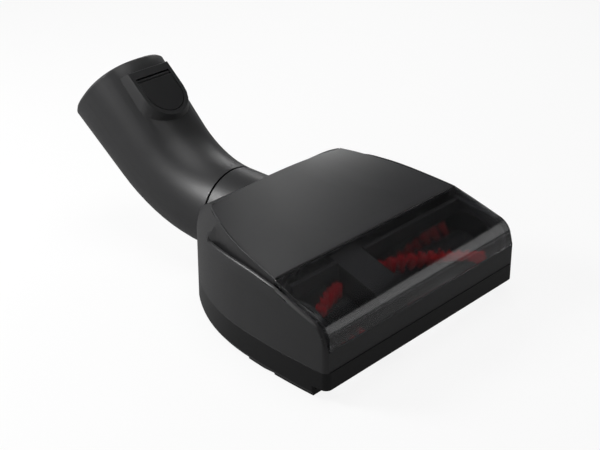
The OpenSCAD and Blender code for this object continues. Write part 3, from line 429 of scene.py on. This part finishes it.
bristleTufts(bristles)
print("bristles made")

studio = {
    "fill": 0.16, "ceiling": 0.1, "horizonTop": 0.2, "ceilingLow": 0.5, "skyColour": "#f2f3f5",
    "sweepLow": 0.0, "sweepTop": 0.05, "floorSeen": 0.88, "floorMirrored": 0.15, "floorMirrorShare": 0.8,
    "floorColour": "#f4f4f4", "floorHalfMm": 4000, "floorZmm": -0.2,
    "lamps": {
        "topLight": {
            "placeMm": (20, 40, 900), "sizeMm": (600, 600), "watts": 2.8, "aimMm": (0, 0, 20)},
        "backLight": {
            "placeMm": (400, 330, 300), "sizeMm": (120, 120), "watts": 0.34, "aimMm": (0, 50, 45)},
        "neckLight": {
            "placeMm": (-320, 420, 340), "sizeMm": (200, 160), "watts": 2.8, "aimMm": (0, 90, 45)},
        "noseLight": {
            "placeMm": (450, -385, 255), "sizeMm": (480, 280), "watts": 0.3, "aimMm": (0, -30, 20)},
        "sideLight": {
            "placeMm": (-560, 120, 330), "sizeMm": (380, 300), "watts": 0.32, "aimMm": (0, 10, 20)}}}


def areaLight(name, look):
    light = bpy.data.lights.new(name, "AREA")
    light.shape = "RECTANGLE"
    light.size, light.size_y = (side * mm for side in look["sizeMm"])
    light.energy = look["watts"]
    lamp = bpy.data.objects.new(name, light)
    bpy.context.scene.collection.objects.link(lamp)
    place, aim = Vector(look["placeMm"]) * mm, Vector(look["aimMm"]) * mm
    lamp.location = place
    lamp.rotation_euler = (place - aim).to_track_quat("Z", "Y").to_euler()


def setRoom(look):
    world = bpy.data.worlds.new("studioWorld")
    bpy.context.scene.world = world
    world.use_nodes = True
    tree = world.node_tree
    tree.nodes.clear()
    ray = addNode(tree, "ShaderNodeLightPath")
    # Light that the cover's inner face throws back leaves it as a transmission ray, and sees the room
    unturned = addNode(tree, "ShaderNodeMath", {
        0: 1.0, 1: ray.outputs["Glossy Depth"]}, operation="SUBTRACT", use_clamp=True)
    through = addNode(tree, "ShaderNodeMath", {
        0: ray.outputs["Is Transmission Ray"], 1: unturned.outputs[0]}, operation="MULTIPLY")
    straight = addNode(tree, "ShaderNodeMath", {
        0: ray.outputs["Is Camera Ray"], 1: through.outputs[0]}, operation="MAXIMUM")
    # The room is dim and its ceiling darker still, which the clear cover mirrors
    heading = addNode(tree, "ShaderNodeTexCoord").outputs["Generated"]
    height = addNode(tree, "ShaderNodeSeparateXYZ", {"Vector": heading})
    room = addNode(tree, "ShaderNodeMapRange", {
        "Value": height.outputs["Z"], "From Min": look["horizonTop"], "From Max": look["ceilingLow"],
        "To Min": look["fill"], "To Max": look["fill"] * look["ceiling"]})
    # Gloss mirrors the white backdrop only in a narrow band above the horizon
    sweep = addNode(tree, "ShaderNodeMapRange", {
        "Value": height.outputs["Z"], "From Min": look["sweepLow"], "From Max": look["sweepTop"],
        "To Min": 1.0, "To Max": 0.0})
    mirrored = addNode(tree, "ShaderNodeMath", {
        0: ray.outputs["Is Glossy Ray"], 1: sweep.outputs["Result"]}, operation="MULTIPLY")
    seen = addNode(tree, "ShaderNodeMath", {
        0: straight.outputs[0], 1: mirrored.outputs[0]}, operation="MAXIMUM")
    strength = addNode(tree, "ShaderNodeMix", {
        0: seen.outputs[0], 2: room.outputs["Result"], 3: 1.0}, data_type="FLOAT")
    colour = addNode(tree, "ShaderNodeMix", {
        0: seen.outputs[0], 6: linearColour(look["skyColour"]), 7: (1, 1, 1, 1)}, data_type="RGBA")
    back = addNode(tree, "ShaderNodeBackground", {
        "Color": colour.outputs[2], "Strength": strength.outputs[0]})
    addNode(tree, "ShaderNodeOutputWorld", {"Surface": back.outputs["Background"]})


def setFloor(look):
    material, tree = newMaterial("studioFloor")
    ray = addNode(tree, "ShaderNodeLightPath")
    matte = addNode(tree, "ShaderNodeBsdfDiffuse", {"Color": linearColour(look["floorColour"])})
    # The camera sees the floor near white, with the object's shadow, and gloss sees it dimmed
    level = addNode(tree, "ShaderNodeMix", {
        0: ray.outputs["Is Glossy Ray"], 2: 1.0, 3: look["floorMirrored"]}, data_type="FLOAT")
    glow = addNode(tree, "ShaderNodeEmission", {"Color": (1, 1, 1, 1), "Strength": level.outputs[0]})
    straight = addNode(tree, "ShaderNodeMath", {
        0: ray.outputs["Is Camera Ray"], 1: ray.outputs["Is Transmission Ray"]}, operation="MAXIMUM")
    mirrored = addNode(tree, "ShaderNodeMath", {
        0: ray.outputs["Is Glossy Ray"], 1: look["floorMirrorShare"]}, operation="MULTIPLY")
    share = addNode(tree, "ShaderNodeMath", {
        0: straight.outputs[0], 1: look["floorSeen"], 2: mirrored.outputs[0]}, operation="MULTIPLY_ADD")
    both = addNode(tree, "ShaderNodeMixShader", {
        0: share.outputs[0], 1: matte.outputs[0], 2: glow.outputs[0]})
    addNode(tree, "ShaderNodeOutputMaterial", {"Surface": both.outputs[0]})
    shape = bmesh.new()
    bmesh.ops.create_grid(shape, x_segments=1, y_segments=1, size=look["floorHalfMm"] * mm)
    mesh = bpy.data.meshes.new("studio_floor")
    shape.to_mesh(mesh)
    shape.free()
    mesh.materials.append(material)
    floor = bpy.data.objects.new("studio_floor", mesh)
    bpy.context.scene.collection.objects.link(floor)
    floor.location.z = look["floorZmm"] * mm
    floor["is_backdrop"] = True


setRoom(studio)
for name, lamp in studio["lamps"].items():
    areaLight(name, lamp)
setFloor(studio)

# The photo's camera, as fitted to the photo
view = {
    "placeMm": (-421.45, -343.77, 303.18), "azimuth": -48.457, "elevation": 25.662, "lens": 84.0,
    "sensorMm": 36.0, "nearMm": 10}


def setCamera(look):
    camera = bpy.data.objects.new("photoCamera", bpy.data.cameras.new("photoCamera"))
    bpy.context.scene.collection.objects.link(camera)
    camera.location = Vector(look["placeMm"]) * mm
    camera.rotation_euler = (math.radians(90 - look["elevation"]), 0, math.radians(look["azimuth"]))
    camera.data.lens = look["lens"]
    camera.data.sensor_width = look["sensorMm"]
    camera.data.sensor_fit = "HORIZONTAL"
    camera.data.clip_start = look["nearMm"] * mm
    bpy.context.scene.camera = camera


setCamera(view)
bpy.context.scene.view_settings.view_transform = "Standard"
print("studio made")


def plain(box):
    return [list(corner) if hasattr(corner, "__len__") else corner for corner in box]


{"cad": plain(cadBox), "visual": plain(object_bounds())}
